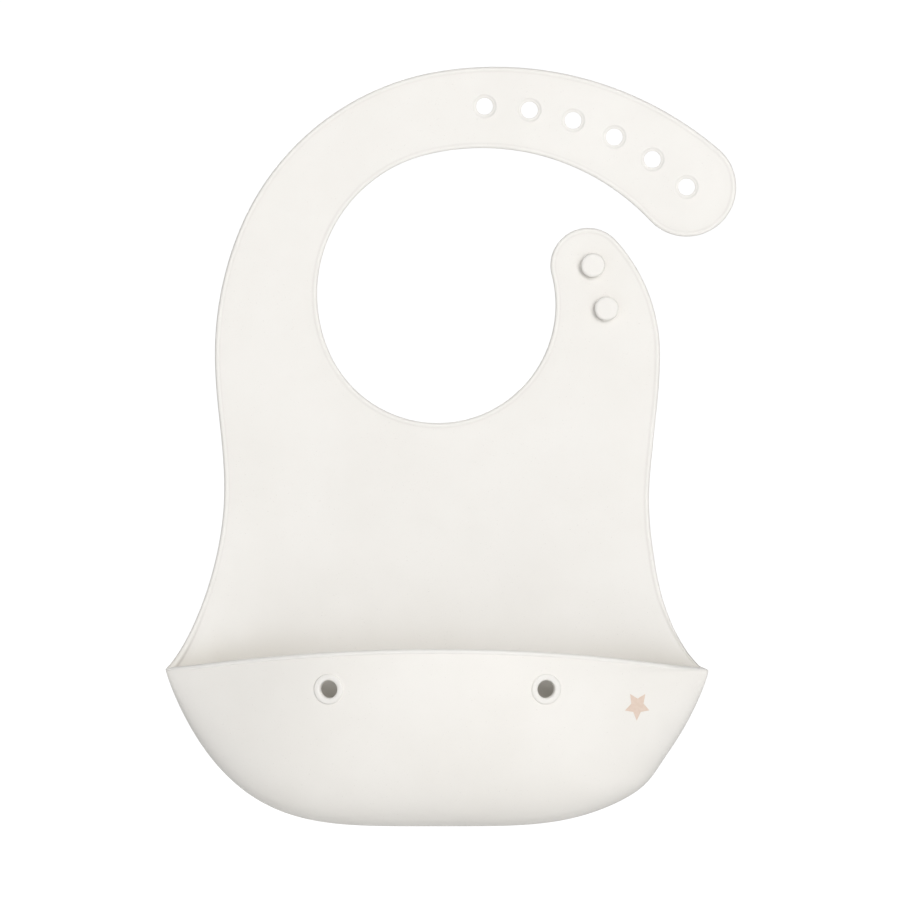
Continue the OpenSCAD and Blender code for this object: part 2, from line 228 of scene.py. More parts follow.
waist, chest = (waist_half_w, waist_z), (chest_half_w, chest_z)
flank = bezier((pocket_half_w, corner_z), (101, -139), (waist_half_w, -106), waist, 66)
flank += bezier(waist, (waist_half_w, -55), (chest_half_w, -40), chest, 42)
free_edge = np.array(
    flank
    + arc(short_outer_c, short_outer_r, 0, short_end)
    + arc(short_c, short_tip_r, short_end, 180 + short_tip_turn)
    + arc((0, 0), neck_r, short_tip_turn, neck_level)
    + arc((0, 0), neck_r, neck_level, inner_turn - 180)
    + arc(inner_c1, inner_r1, inner_turn + 180, inner_switch)
    + arc(inner_c2, inner_r1 + inner_more, inner_switch, inner_end)
    + arc(tip_c, tip_r, inner_end + 180, tip_turn + 360)
    + arc(outer_c, outer_r[2], tip_turn, outer_switch[1])
    + arc(outer_b, outer_r[1], outer_switch[1], outer_switch[0])
    + arc(outer_a, outer_r[0], outer_switch[0], 180)
    + [np.array((-chest_half_w, chest_z))]
    + [np.array((-p[0], p[1])) for p in reversed(flank)]
)

# The sheet ends on a hidden line at the back of the pocket, where the pocket's shell takes over.
lip_rise, pocket_h, pocket_depth, wall_t = 8.6, 64.0, 42.0, 2.0
inner_half_w = pocket_half_w - 1.7 * wall_t
pocket_columns, shell_drop, gutter_fillet = 140, 0.8, 3.5
spread = np.linspace(-1, 1, pocket_columns)
column_x = 0.998 * pocket_half_w * (0.6 * np.sin(math.pi / 2 * spread) + 0.4 * spread)


def lip_z(x):
    """Height of the pocket's lip."""
    return corner_z + lip_rise * (1 - (x / pocket_half_w) ** 2)


def floor_z(x, half_w=pocket_half_w, h=pocket_h):
    """Height of the pocket's floor."""
    return corner_z - h * np.maximum(0, 1 - np.abs(x / half_w) ** 4) ** 0.87


def lip_depth(x, half_w=pocket_half_w, depth=pocket_depth):
    """How far the lip stands in front of the sheet."""
    return depth * np.maximum(0, 1 - (x / half_w) ** 2) ** 0.9


lip, base = lip_z(column_x), floor_z(column_x)
inner_base = floor_z(column_x, inner_half_w, pocket_h - wall_t)
shell_top = lip - np.minimum(shell_drop, 0.25 * (lip - base))
fillet = np.minimum(gutter_fillet, 0.45 * (lip - inner_base))
sheet_end = np.minimum(inner_base + fillet + 0.4, shell_top - 0.12 * (shell_top - base))
sheet_end_line = np.column_stack((column_x, sheet_end))
outline = np.vstack((free_edge, sheet_end_line))


def inside(points, polygon):
    """Which points lie inside a closed outline."""
    x, z = np.asarray(points).T
    crossed = np.zeros(len(x), bool)
    for (x0, z0), (x1, z1) in zip(polygon, np.roll(polygon, -1, 0)):
        if z0 != z1:
            crossed ^= ((z0 > z) != (z1 > z)) & (x < (x1 - x0) * (z - z0) / (z1 - z0) + x0)
    return crossed


def distance(points, line):
    """Each point's distance to an open line."""
    best = np.full(len(points), 1e9)
    for a, b in zip(line[:-1], line[1:]):
        along = np.clip(((points - a) @ (b - a)) / max(1e-12, (b - a) @ (b - a)), 0, 1)
        best = np.minimum(best, np.linalg.norm(points - a - along[:, None] * (b - a), axis=1))
    return best


# Six holes on an arc along the long strap.
hole_count, hole_pitch, hole_inset = 6, 18.4, (16.0, 20.2)
hole_step = math.degrees(hole_pitch / (outer_r[2] - hole_inset[0]))
holes = [
    outer_c + polar(
        outer_r[2] - hole_inset[0] - (hole_inset[1] - hole_inset[0]) * i / (hole_count - 1),
        tip_turn + (hole_count - 1 - i) * hole_step,
    )
    for i in range(hole_count)
]

# Where the sheet bends: the hinge points, with the way ahead square to each hinge's line.
joints = {j["name"]: j for j in frame["joints"]}


def hinge(name):
    """A bend's place on the sheet, in millimetres, and the way ahead across it."""
    place, axis = joints[name]["pos_m"], joints[name]["axis"]
    ahead = np.array((axis[2], -axis[0]))
    return np.array((place[0], place[2])) * 1000, ahead / np.linalg.norm(ahead)


strap_hinges = [hinge(f"long_strap_bend_{i}") for i in range(1, 6)]
short_hinge = hinge("short_strap_bend")
strap_root, short_root, seam_half = 19.0, 10.0, 33.0
strap_seams = [(strap_hinges[0][0] - strap_root * strap_hinges[0][1], strap_hinges[0][1])]
for (p, way), (q, next_way) in zip(strap_hinges, strap_hinges[1:]):
    strap_seams.append(((p + q) / 2, (way + next_way) / np.linalg.norm(way + next_way)))
short_seam = (short_hinge[0] - short_root * short_hinge[1], short_hinge[1])
panel_seams = (-52.5, -83.5)
seams = [(p - seam_half * np.array((-w[1], w[0])), p + seam_half * np.array((-w[1], w[0])))
         for p, w in strap_seams + [short_seam]]
seams += [(np.array((-130, z)), np.array((130, z))) for z in panel_seams]

# Points and fixed lines for the flat pattern: outline, bead rows, hole rows, seams, infill.
grid_step = 3.2
points, lines = [], []


def add_chain(chain, closed=False, keep=None):
    """Adds a row of points, joined by fixed lines where neighbours are both kept."""
    keep = np.ones(len(chain), bool) if keep is None else keep
    numbers = {}
    for i, p in enumerate(chain):
        if keep[i]:
            numbers[i] = len(points)
            points.append(p)
    for i in range(len(chain) if closed else len(chain) - 1):
        j = (i + 1) % len(chain)
        if i in numbers and j in numbers:
            lines.append((numbers[i], numbers[j]))


def near_corners(points):
    """0 on the chest, growing to 1 just above the pocket's corners."""
    return np.clip((corner_roll_z - points[:, 1]) / corner_roll_h, 0, 1) ** 1.5


def wider(points):
    """The bead's width near the corners: the left flank rolls to the front, the right one away."""
    return 1 + near_corners(points) * np.where(points[:, 0] < 0, corner_widening, -corner_narrowing)


add_chain(outline, closed=True)
way = np.vstack((free_edge[1:] - free_edge[:-1], free_edge[-1:] - free_edge[-2:-1]))
way[1:-1] += way[:-2]
way /= np.linalg.norm(way, axis=1)[:, None]
inward = np.column_stack((-way[:, 1], way[:, 0]))
for d, _ in bead_profile[1:]:
    row_d = d * wider(free_edge)
    row = free_edge + row_d[:, None] * inward
    add_chain(row, keep=inside(row, outline) & (distance(row, sheet_end_line) > 0.3)
              & (distance(row, free_edge) > row_d - 0.03))
turn = np.linspace(0, 2 * math.pi, 40, endpoint=False)
for centre in holes:
    for r, _ in hole_profile:
        add_chain(centre + r * np.column_stack((np.cos(turn), np.sin(turn))), closed=True)
for a, b in seams:
    steps = max(2, int(np.linalg.norm(b - a) / grid_step))
    row = a + (b - a) * np.linspace(0, 1, steps + 1)[:, None]
    clear = (distance(row, free_edge) > 3.4) & inside(row, outline)
    clear[[0, -1]] = True
    add_chain(row[clear])
rows = np.arange(-214, 100, grid_step * 0.866)
infill = np.array([(x + (i % 2) * grid_step / 2, z) for i, z in enumerate(rows)
                   for x in np.arange(-112, 124, grid_step)])
infill = infill[inside(infill, outline)]
infill = infill[(distance(infill, free_edge) > 3.7 * wider(infill))
                & (distance(infill, sheet_end_line) > 1.7)]
for a, b in seams:
    infill = infill[distance(infill, (a, b)) > 1.3]
for centre in holes:
    infill = infill[np.linalg.norm(infill - centre, axis=1) > 6.7]
points.extend(infill)

found = delaunay_2d_cdt([Vector(p) for p in points], lines, [], 0, 1e-4)
flat = np.array([tuple(v) for v in found[0]])
triangles = np.array(found[2])
centres = flat[triangles].mean(1)
solid = inside(centres, outline)
for centre in holes:
    solid &= np.linalg.norm(centres - centre, axis=1) > hole_profile[0][0] - 0.02
triangles, centres = triangles[solid], centres[solid]

# Half the thickness at each point, and masks: painted shade along the creases, inside the pocket and
# just above its lip, and rubbed high lines that are smoother and carry a painted highlight.
from_edge = distance(flat, free_edge)
bead_d = from_edge / wider(flat)
from_hole = np.min([np.linalg.norm(flat - centre, axis=1) for centre in holes], axis=0)
half_t = np.interp(bead_d, *zip(*bead_profile))
near_hole = from_hole < hole_profile[-1][0]
half_t[near_hole] = np.interp(from_hole[near_hole], *zip(*hole_profile))
half_t[from_edge < 0.03] = 0
bead_foot_d, bead_crest_d, rim_foot_r, rim_crest_r = 1.95, 1.0, 4.55, 5.05
to_corners = near_corners(flat)
right_corner = to_corners * (flat[:, 0] > 0)


def line_at(away, half_w):
    """1 on a soft line, fading out with the distance away from its middle."""
    return np.exp(-(away / half_w) ** 2)


# Painted shade along the foot of the bead and round the hole rims, darkest at the corners and where the
# right flank rolls away.
crease_shade_at = bead_foot_d - 1.6 * np.sqrt(right_corner)
crease_shade = line_at(bead_d - crease_shade_at, 0.4) * (0.5 + 1.7 * to_corners + 1.6 * right_corner)
crease_shade += 0.5 * line_at(from_hole - rim_foot_r, 0.3)
# Painted highlight along the bead's crest and round the hole rims; the same mask also makes them a
# little smoother.
polish_and_highlight = 0.7 * line_at(bead_d - bead_crest_d, 0.45) * (1 - right_corner)
polish_and_highlight += 0.4 * line_at(from_hole - rim_crest_r, 0.25)

# Painted shade on the sheet inside the pocket, and a band of it just above the lip, darker to the left
# and towards the sides.
film_top_z, film_fade_h, inside_film = -146, 11, 0.4
ease = np.clip((film_top_z - flat[:, 1]) / film_fade_h, 0, 1)
above_lip = np.maximum(0, flat[:, 1] - lip_z(flat[:, 0]))
to_side = np.clip((np.abs(flat[:, 0]) - 35) / 55, 0, 1)
film = np.maximum(inside_film * ease**2 * (3 - 2 * ease),
                  (0.24 - 0.0012 * flat[:, 0] + 0.4 * to_side) * line_at(above_lip, 8))

# How the right flank is drawn in, from below the corner up to the waist.
drawn_in_z = (-152, -148.6, -146.9, -141, -131, -120, -110, -100, -85, -60)
drawn_in_by = (0, 0.2, 2.8, 3.5, 3.8, 3.4, 2.6, 1.7, 1.0, 0)
corner_curl, bowl_sag, sag_z = 5.0, 2.8, -197


def settle(co):
    """How soft silicone hangs: the pocket's corners pull forward, the right flank is drawn in
    where it rolls away, the bowl sags to the lower right, and the sheet waves a little."""
    x, z = co[:, 0], co[:, 2]
    out_there = np.clip((np.abs(x) - 72) / 38, 0, 1)
    curl = corner_curl * out_there**2 * line_at(z - corner_z, 26)
    wave = 0.3 * np.sin(x / 23 + z / 41 + 0.6) * np.sin(z / 19 - x / 60 + 1.1)
    wave += 0.15 * np.sin(x / 11 - z / 27)
    drawn_in = np.interp(z, drawn_in_z, drawn_in_by) * np.clip((x - 40) / 45, 0, 1) ** 1.5
    sag = bowl_sag * line_at(z - sag_z, 9) * np.clip((x - 25) / 40, 0, 1)
    forward = curl + wave * np.clip((z - corner_z + pocket_h) / 60, 0, 1)
    return co - np.column_stack((drawn_in - sag, forward, np.zeros_like(x)))


def make_piece(name, co, faces, material, masks=None):
    """A plain mesh object from points in millimetres, smooth with sharp rims kept sharp."""
    mesh = bpy.data.meshes.new(name)
    mesh.from_pydata(np.asarray(co, float) / 1000, [], faces)
    mesh.validate()
    mesh.update()
    for mask, values in (masks or {}).items():
        mesh.attributes.new(mask, "FLOAT", "POINT").data.foreach_set("value", np.float32(values))
    finish_mesh(mesh, material)
    piece = bpy.data.objects.new(name, mesh)
    scene.collection.objects.link(piece)
    return piece


def finish_mesh(mesh, material):
    """One material, smooth faces, sharp rims."""
    mesh.materials.clear()
    mesh.materials.append(material)
    mesh.polygons.foreach_set("use_smooth", [True] * len(mesh.polygons))
    mesh.set_sharp_from_angle(angle=math.radians(42))


# The skin of moulded silicone, the same on every piece: a fine matte grain from the blasted
# mould, soft unevenness of tone, a few specks of lint, painted shade along the creases, rubbed
# high lines that are smoother and carry a painted highlight, and painted shade inside the pocket.
skin = bpy.data.node_groups.new("silicone_skin", "ShaderNodeTree")
for name, kind, default in (
    ("Place", "NodeSocketVector", None), ("Tone", "NodeSocketColor", (0.85, 0.82, 0.77, 1)),
    ("Unevenness", "NodeSocketFloat", 1.0), ("Lint", "NodeSocketFloat", 1.0),
    ("Crease shade", "NodeSocketFloat", 0.0), ("Polish and highlight", "NodeSocketFloat", 0.0),
    ("Pocket shade", "NodeSocketFloat", 0.0),
):
    socket = skin.interface.new_socket(name, in_out="INPUT", socket_type=kind)
    if default is not None:
        socket.default_value = default
for name, kind in (("Tone", "NodeSocketColor"), ("Roughness", "NodeSocketFloat"),
                   ("Height", "NodeSocketFloat")):
    skin.interface.new_socket(name, in_out="OUTPUT", socket_type=kind)
given = node(skin, "NodeGroupInput")
result = node(skin, "NodeGroupOutput")


def noise(tree, source, scale, detail=2.0, roughness=0.5):
    made = node(tree, "ShaderNodeTexNoise", {"Scale": scale, "Detail": detail, "Roughness": roughness})
    link(tree, source, (made, "Vector"))
    return made


def ramp(tree, source, low, high, to_low=0.0, to_high=1.0):
    made = node(tree, "ShaderNodeMapRange",
                {"From Min": low, "From Max": high, "To Min": to_low, "To Max": to_high})
    link(tree, source, (made, "Value"))
    return made


def times(tree, source, other, kind="MULTIPLY"):
    made = node(tree, "ShaderNodeMath", operation=kind)
    link(tree, source, (made, 0))
    if isinstance(other, tuple):
        link(tree, other, (made, 1))
    else:
        made.inputs[1].default_value = other
    return made


def tint(tree, share, under, over, kind="MIX"):
    """Colour `over` laid on `under`; each is a socket or a plain colour."""
    made = node(tree, "ShaderNodeMix", data_type="RGBA", blend_type=kind)
    for number, value in ((0, share), (6, under), (7, over)):
        if isinstance(value[0], bpy.types.Node):
            tree.links.new(value[0].outputs[value[1]], made.inputs[number])
        else:
            made.inputs[number].default_value = value
    return made


patches = ramp(skin, (noise(skin, (given, "Place"), 24, 3, 0.55), 0), 0.38, 0.66)
patches = times(skin, (patches, 0), (given, "Unevenness"))
tone = tint(skin, (patches, 0), (given, "Tone"), (0.978, 0.976, 0.972, 1), "MULTIPLY")
specks = ramp(skin, (noise(skin, (given, "Place"), 1900, 1), 0), 0.71, 0.78)
specks = times(skin, (specks, 0), (given, "Lint"))
specks = times(skin, (specks, 0), 0.3)
tone = tint(skin, (specks, 0), (tone, 2), (0.55, 0.52, 0.49, 1))
# Painted shade along the creases.
crease_shade_share = times(skin, (given, "Crease shade"), 0.36)
tone = tint(skin, (crease_shade_share, 0), (tone, 2), (0.6, 0.575, 0.545, 1))
# Painted shade inside the pocket and just above its lip.
tone = tint(skin, (given, "Pocket shade"), (tone, 2), (0.8, 0.785, 0.75, 1), "MULTIPLY")
# Painted highlight on the rubbed lines, which the roughness below also makes a little smoother.
painted_highlight = times(skin, (given, "Polish and highlight"), 0.3)
tone = tint(skin, (painted_highlight, 0), (tone, 2), (0.93, 0.915, 0.885, 1))
cloud = ramp(skin, (noise(skin, (given, "Place"), 120, 3), 0), 0.3, 0.7, 0.5, 0.62)
polish = times(skin, (given, "Polish and highlight"), -0.07)
rough = times(skin, (cloud, 0), (polish, 0), "ADD")
fine = times(skin, (noise(skin, (given, "Place"), 1400, 3, 0.6), 0), 0.6)
broad = times(skin, (noise(skin, (given, "Place"), 240, 2), 0), 0.8)
grain = times(skin, (fine, 0), (broad, 0), "ADD")
link(skin, (tone, 2), (result, "Tone"), (rough, 0), (result, "Roughness"),
     (grain, 0), (result, "Height"))


def silicone(name, tone, unevenness, lint, grain_depth, masks=()):
    """A material of its own for each kind of piece, on the one skin."""
    made = bpy.data.materials.new(name)
    made.use_nodes = True
    tree = made.node_tree
    tree.nodes.clear()
    place = node(tree, "ShaderNodeTexCoord")
    face = node(tree, "ShaderNodeGroup", node_tree=skin)
    face.inputs["Tone"].default_value = tone
    face.inputs["Unevenness"].default_value = unevenness
    face.inputs["Lint"].default_value = lint
    bump = node(tree, "ShaderNodeBump", {"Strength": 1.0, "Distance": grain_depth})
    body = node(tree, "ShaderNodeBsdfPrincipled",
                {"IOR": 1.42, "Specular IOR Level": 0.42, "Sheen Weight": 0.05, "Sheen Roughness": 0.5})
    out = node(tree, "ShaderNodeOutputMaterial")
    for mask, into in masks:
        read = node(tree, "ShaderNodeAttribute", attribute_name=mask)
        link(tree, (read, "Fac"), (face, into))
    link(tree, (place, "Object"), (face, "Place"), (face, "Tone"), (body, "Base Color"),
         (face, "Roughness"), (body, "Roughness"), (face, "Height"), (bump, "Height"),
         (bump, "Normal"), (body, "Normal"), (body, 0), (out, "Surface"))
    return made


# The sheet's masks carry painted shade along the creases, inside the pocket and above its lip, and a
# painted highlight on the rubbed lines.
sheet_silicone = silicone("sheet_silicone", (0.862, 0.842, 0.805, 1), 1.0, 1.0, 0.00002,
                          (("crease_shade", "Crease shade"), ("polish_and_highlight", "Polish and highlight"), ("film", "Pocket shade")))

# Which piece of the sheet each triangle belongs to.
x, z = centres.T
on_short_side = (x > 0) & ((z < 20) | (np.linalg.norm(centres - short_c, axis=1) < 17))
owner = np.where(z < panel_seams[1], 2, np.where(z < panel_seams[0], 1, 0))
for k, (p, ahead) in enumerate(strap_seams):
    owner[((centres - p) @ ahead > 0) & (z > -20) & ~on_short_side] = 3 + k
owner[((centres - short_seam[0]) @ short_seam[1] > 0) & on_short_side & (x > 30)] = 8

in_free_edge = from_edge < 0.03
sheet_pieces = {}
for number, name in enumerate((
    "chest_yoke", "chest_middle", "chest_lower", "long_strap_shoulder", "long_strap_back",
    "long_strap_crown", "long_strap_holes", "long_strap_end", "short_strap_sheet",
)):
    mine = triangles[owner == number]
    used, local = np.unique(mine, return_inverse=True)
    local = local.reshape(-1, 3)
    welded = in_free_edge[used]
    back_number = np.where(welded, np.arange(len(used)), len(used) + np.cumsum(~welded) - 1)
    front = np.column_stack((flat[used, 0], -half_t[used], flat[used, 1]))
    back = front[~welded] * (1, -1, 1)
    sides = {}
    for a, b, c in local:
        for edge in ((a, b), (b, c), (c, a)):
            sides[edge] = True
    faces = [tuple(t) for t in local] + [tuple(back_number[t[::-1]]) for t in local]
    for a, b in sides:
        if (b, a) not in sides and not (welded[a] and welded[b]):
            wall = [b, a, back_number[a], back_number[b]]
            faces.append(tuple(dict.fromkeys(wall)))
    both = np.concatenate((np.arange(len(used)), np.flatnonzero(~welded)))
    sheet_pieces[name] = make_piece(
        name, settle(np.vstack((front, back))), faces, sheet_silicone,
        {"crease_shade": crease_shade[used][both], "polish_and_highlight": polish_and_highlight[used][both],
         "film": np.concatenate((film[used], np.zeros(len(back))))},
    )


def along(point, ahead, back_by, on_by):
    """Start and end of a bend about a hinge, in metres."""
    return [(q[0] / 1000, 0, q[1] / 1000) for q in (point - back_by * ahead, point + on_by * ahead)]


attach(sheet_pieces["chest_yoke"], "upper_chest")
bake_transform(sheet_pieces["chest_middle"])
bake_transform(sheet_pieces["chest_lower"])
bend_reach = (17, 16.5, 16.5, 13, 13)
for k, name in enumerate(list(sheet_pieces)[3:8]):
    start, end = along(*strap_hinges[k], bend_reach[k], bend_reach[k])
    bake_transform(sheet_pieces[name])
start, end = along(*short_hinge, 9, 4.4)
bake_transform(sheet_pieces["short_strap_sheet"])

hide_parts("upper_panel", "upper_panel_bead")
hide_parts("middle_panel", "middle_panel_beads")
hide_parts("lower_panel", "lower_panel_beads")
for k, name in enumerate(list(sheet_pieces)[3:7], 1):
    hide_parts(f"long_strap_{k}", f"long_strap_{k}_beads")
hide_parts("long_strap_tip", "long_strap_tip_bead")
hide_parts("short_strap", "short_strap_bead")


# ---------------------------------------------------------------- Pocket
# The pocket is one moulding with the sheet: a 2 mm silicone bowl that stands open in front,
# with a rounded gutter at the bottom and a thin wall up to the lip. It narrows to nothing at
# both corners, where it runs into the flanks.

# The pocket carries painted shade on the inside of its wall.
pocket_silicone = silicone("pocket_silicone", (0.888, 0.866, 0.826, 1), 1.2, 1.0, 0.00002,
                           (("film", "Pocket shade"),))
round_share = 0.8
outer_steps, inner_steps, fillet_steps, back_steps = 36, 24, 7, 3


def bowl(depth, top, bottom, angles):
    """A column of the bowl, from the lip at angle 0 to the floor at 90 degrees."""
    return np.column_stack((-sheet_half - depth * np.cos(angles) ** round_share,
                            top - (top - bottom) * np.sin(angles) ** round_share))


def angle_at_drop(share):
    """The column's angle at that share of the way down."""
    return math.asin(min(1, share) ** (1 / round_share))


eased = np.linspace(0, 1, outer_steps)
eased = eased**2 * (3 - 2 * eased)
columns = []
for i, x in enumerate(column_x):
    top, bottom, rim, end = lip[i], base[i], shell_top[i], sheet_end[i]
    depth = float(lip_depth(x))
    first = angle_at_drop((top - rim) / (top - bottom))
    outer = bowl(depth, top, bottom, first + (math.pi / 2 - first) * eased)
    toe = min(sheet_half, 0.35 * (end - bottom))
    turn = np.radians(np.linspace(30, 90, 3))
    toe_line = np.column_stack((sheet_half * np.sin(turn), bottom + toe * (1 - np.cos(turn))))
    back_line = np.column_stack((np.full(back_steps, sheet_half),
                                 np.linspace(bottom + toe, end, back_steps + 1)[1:]))
    inner_depth = float(lip_depth(x, inner_half_w, pocket_depth - wall_t))
    low = inner_base[i]
    start = end - 0.4
    if start - low > 0.3 and top - low > 2 * shell_drop and inner_depth > 0.5:
        out_by = min(gutter_fillet, 0.5 * inner_depth)
        bend = math.acos((out_by / inner_depth) ** (1 / round_share))
        last = angle_at_drop((top - rim) / (top - low))
        upwards = np.linspace(1, 0, inner_steps) ** 1.5
        wall = bowl(inner_depth, top, low, last + (bend - last) * upwards)
        s = np.linspace(0, 1, fillet_steps, endpoint=False)[:, None]
        corner = ((1 - s) ** 2 * (-sheet_half, start) + 2 * s * (1 - s) * (-sheet_half, low)
                  + s**2 * wall[0])
        inner = np.vstack((corner, wall))
    else:
        inner = np.column_stack((np.full(fillet_steps + inner_steps, -sheet_half),
                                 np.linspace(end, rim, fillet_steps + inner_steps + 1)[1:]))
    column = np.vstack((outer, toe_line, back_line, [(-sheet_half, end)], inner))
    columns.append(np.column_stack((np.full(len(column), x), column)))
shell_points = np.vstack(columns)
round_count = len(columns[0])
# Painted shade on the inside of the pocket's wall, below the lip.
below_lip = np.clip((np.repeat(lip, round_count) - shell_points[:, 2] - 2) / 9, 0, 1)
inner_side = np.arange(round_count) > outer_steps + 3 + back_steps
shell_film = 0.6 * np.tile(inner_side, pocket_columns) * below_lip
shell_faces = [
    (i * round_count + k, i * round_count + (k + 1) % round_count,
     (i + 1) * round_count + (k + 1) % round_count, (i + 1) * round_count + k)
    for i in range(pocket_columns - 1) for k in range(round_count)
]
shell_faces += [tuple(range(round_count))[::-1],
                tuple(range((pocket_columns - 1) * round_count, pocket_columns * round_count))]


def wall_y(x, z):
    """The outside of the pocket's wall."""
    v = (lip_z(x) - z) / (lip_z(x) - floor_z(x))
    return -sheet_half - lip_depth(x) * (1 - v ** (2 / round_share)) ** (round_share / 2)


def wall_facing(x, z):
    """Unit vector straight out of the pocket's wall."""
    sideways = (wall_y(x + 1, z) - wall_y(x - 1, z)) / 2
    upwards = (wall_y(x, z + 1) - wall_y(x, z - 1)) / 2
    return Vector((sideways, -1, upwards)).normalized()


def bake(piece, name, material):
    """The piece's modifiers made into a plain mesh of its own."""
    evaluated = piece.evaluated_get(bpy.context.evaluated_depsgraph_get())
    mesh = bpy.data.meshes.new_from_object(evaluated)
    bpy.data.objects.remove(piece)
    mesh.name = name
    made = bpy.data.objects.new(name, mesh)
    scene.collection.objects.link(made)
    finish_mesh(mesh, material)
    return made


def settle_mesh(mesh):
    """Settles a finished mesh, which is in metres, as the sheet was."""
    co = np.empty(len(mesh.vertices) * 3, np.float32)
    mesh.vertices.foreach_get("co", co)
    co = settle(co.reshape(-1, 3).astype(float) * 1000) / 1000
    mesh.vertices.foreach_set("co", co.astype(np.float32).ravel())
    mesh.update()


def face_outwards(mesh):
    """Merges doubles and turns every face outwards."""
    bm = bmesh.new()
    bm.from_mesh(mesh)
    bmesh.ops.remove_doubles(bm, verts=bm.verts, dist=1e-6)
    bmesh.ops.recalc_face_normals(bm, faces=bm.faces)
    bm.to_mesh(mesh)
    bm.free()


eyelet_x, eyelet_drop, eyelet_r, collar_r, collar_proud = 44.0, 7.7, 3.6, 6.25, 0.7
eyelet_z = corner_z - eyelet_drop
bore_hidden_r, drill_length = 4.7, 12      # the rings cover the edges of these bores
shell = make_piece("pocket_shell_raw", shell_points, shell_faces, pocket_silicone,
                   {"film": shell_film})
face_outwards(shell.data)
drills = []
for side in (-1, 1):
    bm = bmesh.new()
    bmesh.ops.create_cone(bm, cap_ends=True, segments=48, radius1=bore_hidden_r / 1000,
                          radius2=bore_hidden_r / 1000, depth=drill_length / 1000)
    x = side * eyelet_x
    turned = wall_facing(x, eyelet_z).to_track_quat("Z", "Y").to_matrix().to_4x4()
    centre = Vector((x, wall_y(x, eyelet_z), eyelet_z)) / 1000
    bmesh.ops.transform(bm, verts=bm.verts, matrix=turned)
    bmesh.ops.translate(bm, verts=bm.verts, vec=centre)
    mesh = bpy.data.meshes.new("drill")
    bm.to_mesh(mesh)
    bm.free()
    drill = bpy.data.objects.new("drill", mesh)
    scene.collection.objects.link(drill)
    drills.append(drill)
    cut = shell.modifiers.new("bore", "BOOLEAN")
    cut.operation, cut.solver, cut.object = "DIFFERENCE", "EXACT", drill
pocket_shell = bake(shell, "pocket_shell", pocket_silicone)
for drill in drills:
    bpy.data.objects.remove(drill)
settle_mesh(pocket_shell.data)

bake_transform(pocket_shell)
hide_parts("pocket_gutter", "pocket_front")


# ---------------------------------------------------------------- Lip
# A round roll of the same silicone along the top of the pocket's wall, which keeps it open.
# It is moulded on, and thins out where it meets the flanks at the corners.

lip_silicone = silicone("lip_silicone", (0.88, 0.862, 0.83, 1), 0.8, 0.7, 0.000015)
lip_half_t, lip_half_h = 1.4, 1.15


def new_tree(name, inputs):
    """A Geometry Nodes tree with named inputs and a material input, and its two end nodes."""
    made = bpy.data.node_groups.new(name, "GeometryNodeTree")
    made.interface.new_socket("Geometry", in_out="INPUT", socket_type="NodeSocketGeometry")
    for title, kind in inputs + (("Finish", "NodeSocketMaterial"),):
        made.interface.new_socket(title, in_out="INPUT", socket_type=kind)
    made.interface.new_socket("Geometry", in_out="OUTPUT", socket_type="NodeSocketGeometry")
    return made, node(made, "NodeGroupInput"), node(made, "NodeGroupOutput")


def finish_tree(tree, given, result, source):
    """Ends a tree: real geometry with its material."""
    real = node(tree, "GeometryNodeRealizeInstances")
    painted = node(tree, "GeometryNodeSetMaterial")
    link(tree, source, (real, 0), (real, 0), (painted, 0), (given, "Finish"), (painted, "Material"),
         (painted, 0), (result, 0))


def grow(name, tree, start_mesh, material, **values):
    """A piece made by a Geometry Nodes tree from a starting mesh."""
    raw = bpy.data.objects.new(name + "_raw", start_mesh)
    scene.collection.objects.link(raw)
    grown = raw.modifiers.new("grow", "NODES")
    grown.node_group = tree
    by_name = {s.name: s.identifier for s in tree.interface.items_tree if s.in_out == "INPUT"}
    for title, value in {**values, "Finish": material}.items():
        grown[by_name[title.replace("_", " ")]] = value
    return bake(raw, name, material)


def line_mesh(name, co):
    """A mesh of one open line, from points in millimetres."""
    mesh = bpy.data.meshes.new(name)
    mesh.from_pydata(np.asarray(co, float) / 1000, [(i, i + 1) for i in range(len(co) - 1)], [])
    return mesh


roll_tree, given, result = new_tree("lip_roll", (
    ("Half thickness", "NodeSocketFloat"), ("Half height", "NodeSocketFloat"),
))
path = node(roll_tree, "GeometryNodeMeshToCurve")
level = node(roll_tree, "GeometryNodeSetCurveNormal", mode="Z_UP")
section = node(roll_tree, "GeometryNodeCurvePrimitiveCircle", {"Resolution": 20, "Radius": 1.0})
shape = node(roll_tree, "ShaderNodeCombineXYZ", {"Z": 1.0})
oval = node(roll_tree, "GeometryNodeTransform")
taper = node(roll_tree, "GeometryNodeInputNamedAttribute", {"Name": "taper"}, data_type="FLOAT")
swept = node(roll_tree, "GeometryNodeCurveToMesh", {"Fill Caps": True})
link(roll_tree, (given, 0), (path, 0), (path, 0), (level, 0), (level, 0), (swept, "Curve"),
     (taper, "Attribute"), (swept, "Scale"),
     (given, "Half thickness"), (shape, "X"), (given, "Half height"), (shape, "Y"),
     (section, 0), (oval, 0), (shape, 0), (oval, "Scale"), (oval, 0), (swept, "Profile Curve"))
finish_tree(roll_tree, given, result, (swept, 0))

